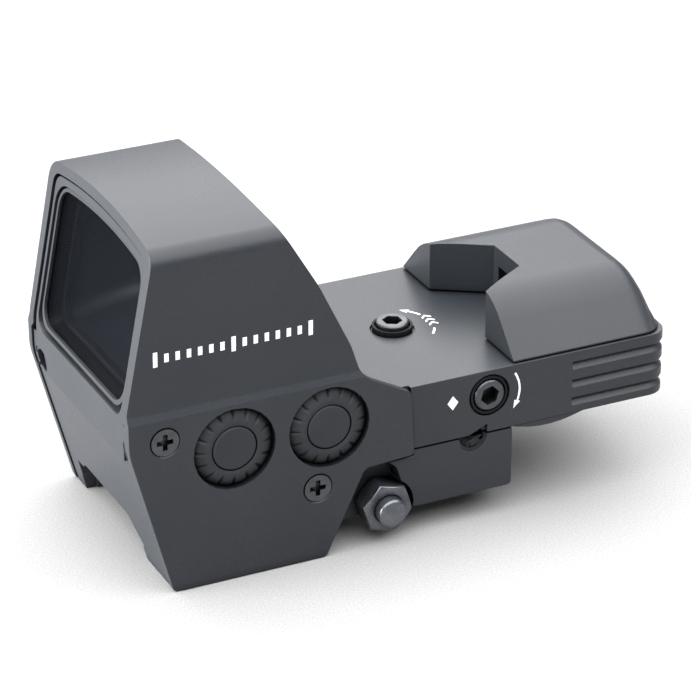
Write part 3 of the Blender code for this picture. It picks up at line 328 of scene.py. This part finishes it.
def spin_rings(profile, steps, height=None):
    """A closed surface turned about +Z from (radius, height) points.

    A profile that starts and ends on the axis closes there; any other closes on itself.
    height(radius, z, angle) may reshape each point."""
    shape = bmesh.new()
    on_axis = profile[0][0] == 0
    rings = []
    for radius, z in profile:
        if radius == 0:
            rings.append([shape.verts.new((0, 0, z * MM))])
            continue
        ring = []
        for i in range(steps):
            angle = math.tau * i / steps
            lift = height(radius, z, angle) if height else z
            point = Vector((radius * math.cos(angle), radius * math.sin(angle), lift))
            ring.append(shape.verts.new(point * MM))
        rings.append(ring)
    pairs = list(zip(rings, rings[1:])) + ([] if on_axis else [(rings[-1], rings[0])])
    for a, b in pairs:
        for i in range(steps):
            j = (i + 1) % steps
            corners = [a[i % len(a)], a[j % len(a)], b[j % len(b)], b[i % len(b)]]
            shape.faces.new(list(dict.fromkeys(corners)))
    return shape


def move_to(shape, origin, direction):
    """Turn a shape's own +Z to a direction and set it down at an origin."""
    turn = Z.rotation_difference(Vector(direction)).to_matrix().to_4x4()
    bmesh.ops.transform(shape, matrix=Matrix.Translation(Vector(origin) * MM) @ turn, verts=shape.verts)
    return shape


# ================================== buttons ==================================
def boot_height(radius, z, angle):
    """The boot falls away outwards and is fluted towards its rim."""
    if z <= BOOT_FLOOR:
        return z
    share = min(1.0, max(0.0, (radius - FLUTE_START) / FLUTE_RUN))
    flute = max(0.0, math.cos(FLUTES * angle)) ** FLUTE_NARROW
    return z - FLUTE_DEEP * flute * share * share * (3 - 2 * share)


def disc_shape():
    """A low dome with a rounded rim, on a wider flange."""
    turns = [math.pi / 2 * i / 6 for i in range(7)]
    dome = [(radius, DISC_TALL + rise) for radius, rise in DISC_DOME]
    rim = [(DISC_R + DISC_EDGE * (math.sin(a) - 1), DISC_TALL + DISC_EDGE * (math.cos(a) - 1))
           for a in turns]
    flange = [(DISC_R, FLANGE_TALL), (FLANGE_R, FLANGE_TALL), (FLANGE_R, 0), (0, 0)]
    return spin_rings(dome + rim + flange, DISC_STEPS)


def boot_shape():
    profile = BOOT_TOP + [(BOOT_OUT, BOOT_FLOOR), (BOOT_IN, BOOT_FLOOR)]
    return spin_rings(profile, FLUTES * STEPS_A_FLUTE, boot_height)


def make_button(end, materials):
    """A smooth disc and the fluted rubber boot round it."""
    rubber = materials["button_rubber"]
    centre = middle(f"button_{end}")
    disc = move_to(disc_shape(), (centre.x, BUTTON_BACK_Y, centre.z), -Y)
    piece = new_piece(f"button_disc_{end}", disc, rubber, f"button_{end}")
    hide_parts(f"button_{end}")
    boot = move_to(boot_shape(), (centre.x, BUTTON_BACK_Y - BOOT_SINK, centre.z), -Y)
    piece = new_piece(f"button_skirt_{end}", boot, rubber, "housing")
    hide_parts(f"button_boot_{end}")


# =================================== marks ===================================
def flat_shape(outlines, origin, right, up):
    """Thin raised shapes on a surface, from outlines in its own two directions."""
    shape = bmesh.new()
    out = right.cross(up)
    for outline in outlines:
        rings = []
        for level in (-PAINT_SINK, PAINT_TALL - PAINT_SINK):
            rings.append([shape.verts.new((origin + right * a + up * b + out * level) * MM)
                          for a, b in outline])
        shape.faces.new(reversed(rings[0]))
        shape.faces.new(rings[1])
        for i in range(len(outline)):
            j = (i + 1) % len(outline)
            shape.faces.new((rings[0][i], rings[0][j], rings[1][j], rings[1][i]))
    return shape


def arc_strip(radius, start, end):
    """Outline of a curved line about the origin, from one angle in degrees to another."""
    angles = [math.radians(start + (end - start) * i / ARC_STEPS) for i in range(ARC_STEPS + 1)]
    inner, outer = ([(r * math.cos(a), r * math.sin(a)) for a in angles]
                    for r in (radius - LINE_WIDE / 2, radius + LINE_WIDE / 2))
    return outer + inner[::-1]


def arrow_head(radius, angle, way):
    """A triangle at the end of an arc, pointing along it; way is 1 or -1."""
    a = math.radians(angle)
    out = Vector((math.cos(a), math.sin(a)))
    along = Vector((-math.sin(a), math.cos(a))) * way
    end = out * radius
    tip = end + along * ARROW_LONG - out * ARROW_TURN_IN
    return [tuple(end + out * ARROW_WIDE / 2), tuple(end - out * ARROW_WIDE / 2), tuple(tip)]


def bar(across, tall):
    """Outline of an upright bar whose middle is on the line of bars."""
    a, b = BAR_WIDE / 2, tall / 2
    return [(across - a, -b), (across + a, -b), (across + a, b), (across - a, b)]


def chevron(reach):
    """Outline of one V that points the way the screw is turned, reach from its axis."""
    half, rise, thick = CHEVRON_HALF, CHEVRON_RISE, CHEVRON_THICK
    corners = ((-half, 0), (0, rise), (half, 0), (half, -thick), (0, rise - thick), (-half, -thick))
    return [(ELEVATION_ARC + u * CHEVRON_SQUEEZE, reach + v) for u, v in corners]


def mark(name, outlines, origin, right, up, materials):
    shape = flat_shape(outlines, Vector(origin), right, up)
    return new_piece(name, shape, materials["white_paint"], "housing")


def surface_at(node, spot, way):
    """Where a line from a spot first meets a CAD node, and the way the surface faces."""
    item = frame["nodes"][node]
    turn = item.matrix_world.inverted()
    found, point, normal, _ = item.ray_cast(turn @ (Vector(spot) * MM), turn.to_3x3() @ Vector(way))
    if not found:
        raise RuntimeError(f"no surface of {node} at {spot}")
    return item.matrix_world @ point / MM, (item.matrix_world.to_3x3() @ normal).normalized()


def make_windage_marks(materials):
    windage = middle("windage_bushing")
    side, _ = surface_at("main_body", (SIDE_SPOT_X, LEFT_OF_ALL, windage.z), Y)
    arrow = [arc_strip(WINDAGE_ARC, *WINDAGE_SPAN), arrow_head(WINDAGE_ARC, WINDAGE_SPAN[1], -1)]
    mark("windage_arrow", arrow, (windage.x, side.y, windage.z), X, Z, materials)
    diamond = [(-DIAMOND_HALF_WIDE, 0), (0, -DIAMOND_HALF_TALL), (DIAMOND_HALF_WIDE, 0),
               (0, DIAMOND_HALF_TALL)]
    mark("windage_glyph", [diamond], (DIAMOND_X, side.y, windage.z), X, Z, materials)


def make_elevation_marks(materials):
    elevation = middle("elevation_screw")
    deck, _ = surface_at("main_body", (elevation.x, DECK_SPOT_Y, ABOVE_ALL), -Z)
    centre = (elevation.x, elevation.y, deck.z)
    arrow = [arc_strip(ELEVATION_ARC, *span) for span in ELEVATION_SPANS]
    arrow.append(arrow_head(ELEVATION_ARC, ELEVATION_SPANS[-1][1], 1))
    mark("elevation_arrow", arrow, centre, X, Y, materials)
    mark("elevation_glyph", [chevron(reach) for reach in CHEVRON_PLACES], centre, X, Y, materials)


def make_hood_bars(materials):
    """A plain row of bars where the side of the hood carries its largest mark."""
    spot, out = surface_at("hood_shroud", ((BARS_FIRST_X + BARS_LAST_X) / 2, LEFT_OF_ALL, BARS_Z), Y)
    step = (BARS_LAST_X - BARS_FIRST_X) / (BARS - 1)
    bars = [bar(BARS_FIRST_X + step * i - spot.x, BAR_TALL if i % LONG_BAR_EVERY else LONG_BAR_TALL)
            for i in range(BARS)]
    mark("hood_bars", bars, spot, X, out.cross(X), materials)


# ============================ stage, light, camera ===========================
def make_stage():
    shape = bmesh.new()
    bmesh.ops.create_grid(shape, x_segments=1, y_segments=1, size=FLOOR_HALF_M)
    mesh = bpy.data.meshes.new("floor")
    shape.to_mesh(mesh)
    shape.free()
    mesh.materials.append(finish_material("floor", **FLOOR_FINISH))
    floor = bpy.data.objects.new("floor", mesh)
    floor.location.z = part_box("hood_shroud")[0].z - FLOOR_GAP_M
    bpy.context.scene.collection.objects.link(floor)


def soft_box(name, place_m, aim_m, size_m, power_w):
    light = bpy.data.lights.new(name, "AREA")
    light.shape = "RECTANGLE"
    light.size, light.size_y = size_m
    light.energy = power_w
    item = bpy.data.objects.new(name, light)
    item.location = place_m
    item.rotation_mode = "QUATERNION"
    item.rotation_quaternion = (Vector(aim_m) - Vector(place_m)).to_track_quat("-Z", "Y")
    bpy.context.scene.collection.objects.link(item)


def make_light():
    for name, light in LIGHTS.items():
        soft_box(name, **light)
    world = bpy.data.worlds.new("studio")
    world.use_nodes = True
    set_inputs(world.node_tree.nodes["Background"], Color=(1.0, 1.0, 1.0, 1), Strength=WORLD_STRENGTH)
    bpy.context.scene.world = world
    bpy.context.scene.view_settings.view_transform = "Standard"


def make_camera():
    back = Vector((math.sin(AZIMUTH) * math.cos(ELEVATION), -math.cos(AZIMUTH) * math.cos(ELEVATION),
                   math.sin(ELEVATION)))
    data = bpy.data.cameras.new("camera")
    data.lens = LENS
    data.sensor_width = SENSOR_WIDE
    data.clip_start, data.clip_end = CLIP_START_M, CLIP_END_M
    camera = bpy.data.objects.new("camera", data)
    camera.location = (TARGET + back * DISTANCE) * MM
    camera.rotation_mode = "QUATERNION"
    camera.rotation_quaternion = (-back).to_track_quat("-Z", "Y")
    bpy.context.scene.collection.objects.link(camera)
    bpy.context.scene.camera = camera


# ==================================== build ==================================
make_camera()
mats = make_materials()
dress_nodes(mats)
for button_end in ("front", "rear"):
    make_button(button_end, mats)
make_windage_marks(mats)
make_elevation_marks(mats)
make_hood_bars(mats)
make_stage()
make_light()
